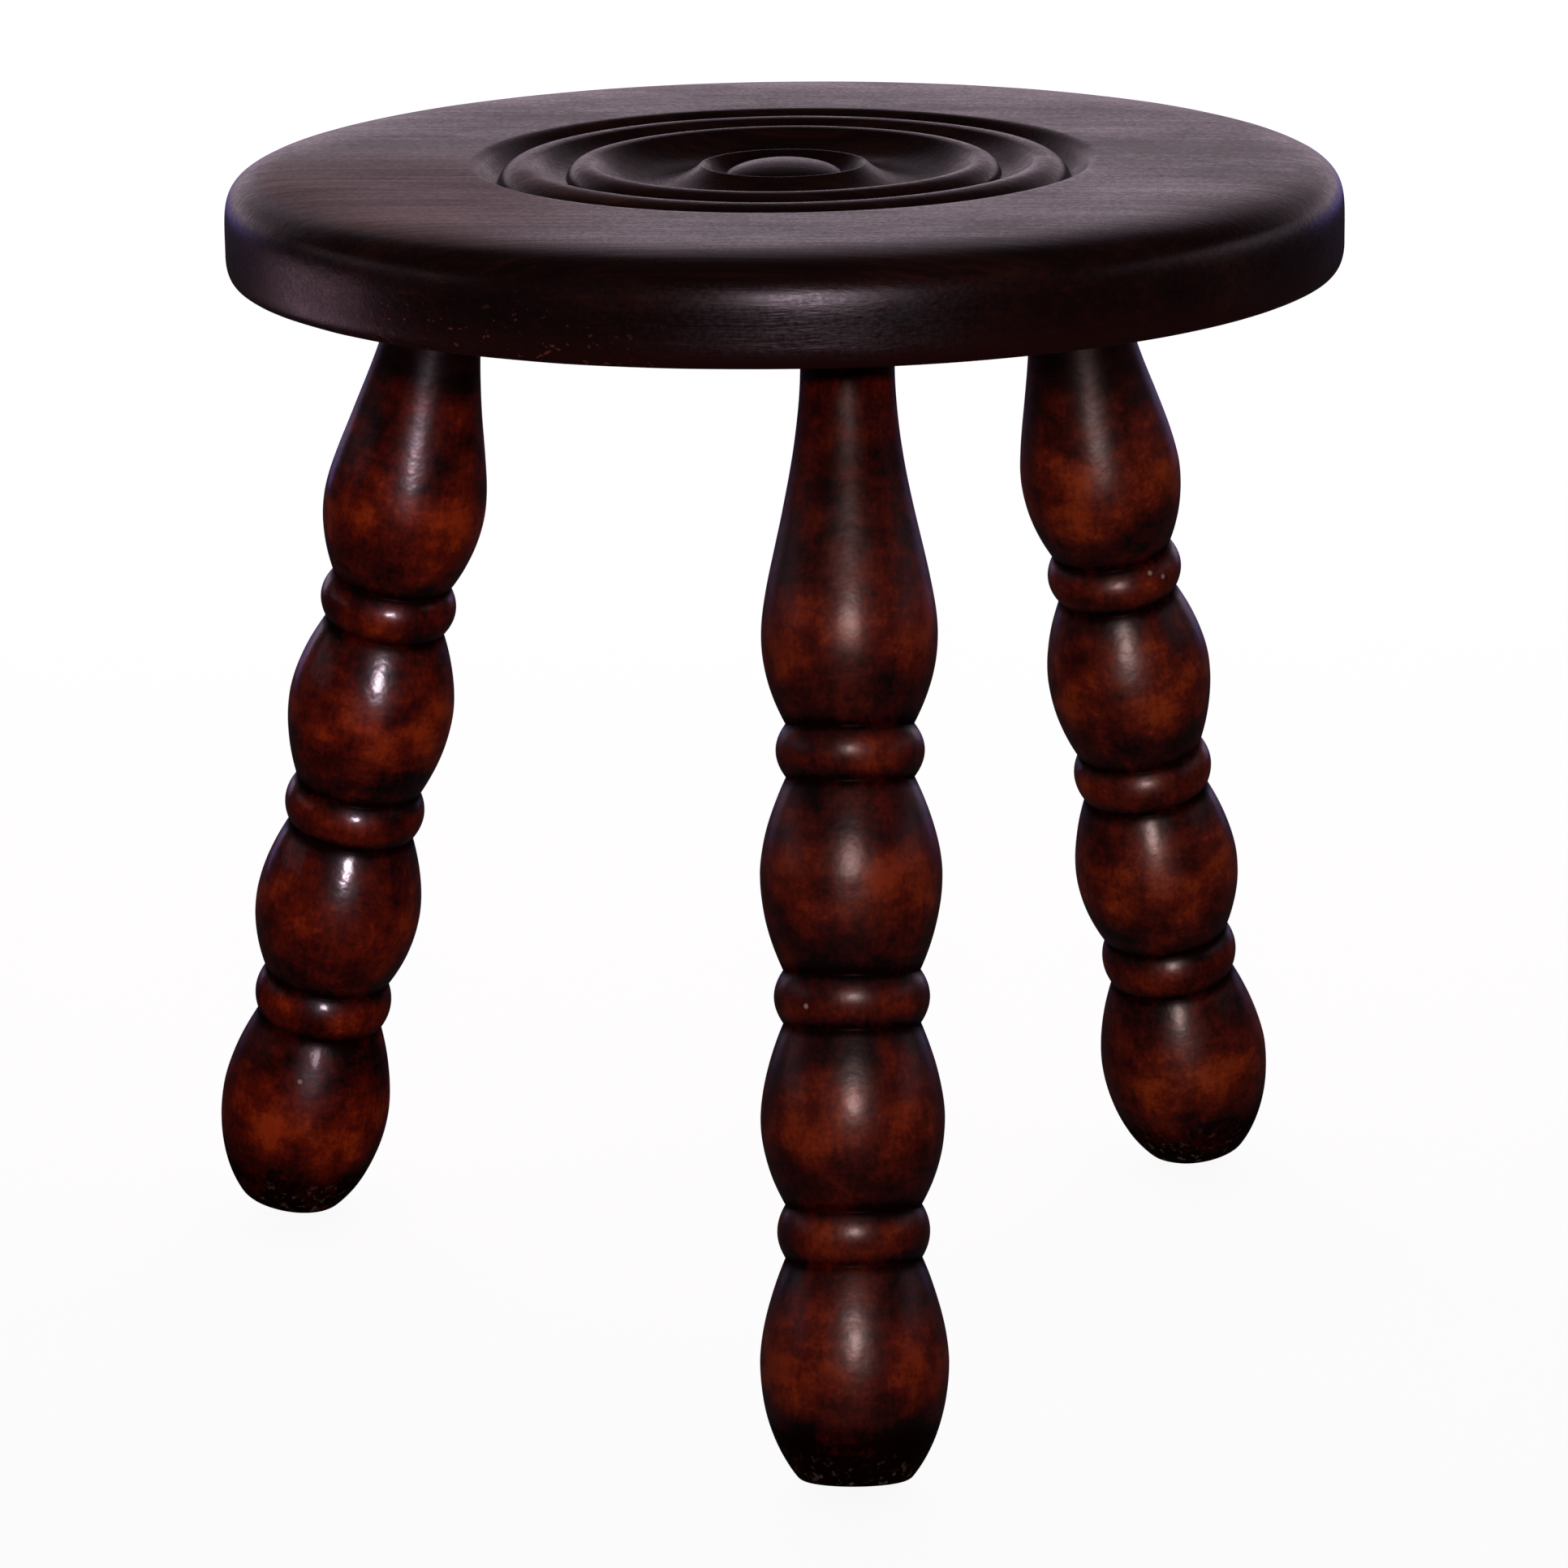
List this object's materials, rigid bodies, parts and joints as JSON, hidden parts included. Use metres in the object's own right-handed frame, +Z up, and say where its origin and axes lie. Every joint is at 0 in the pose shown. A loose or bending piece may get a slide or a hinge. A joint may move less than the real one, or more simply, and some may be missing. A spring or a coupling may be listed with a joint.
{
  "type": "milking stool",
  "caption": "Low round wooden milking stool: a seat with turned concentric mouldings on splayed legs turned with bulbs and beads.",
  "frame": {"origin": "point of the floor under the centre of the seat", "axes": "+Z up, -Y towards the front leg, +X towards the right of a person who faces the front leg's side of the stool from the front"},
  "size_m": [0.3083, 0.331, 0.317],
  "materials": {
    "seat_wood": "dark brown stain under worn satin varnish",
    "leg_wood": "mottled red-brown stain under glossy varnish",
    "inner_wood": "bare, unfinished"
  },
  "bodies": {
    "root": {"seat_board_back": "seat_wood", "seat_board_front": "seat_wood", "leg_front": "leg_wood", "leg_left": "leg_wood", "leg_right": "leg_wood", "wedge_front": "inner_wood", "wedge_left": "inner_wood", "wedge_right": "inner_wood", "dowel_left": "inner_wood", "dowel_middle": "inner_wood", "dowel_right": "inner_wood"}
  },
  "joints": []
}
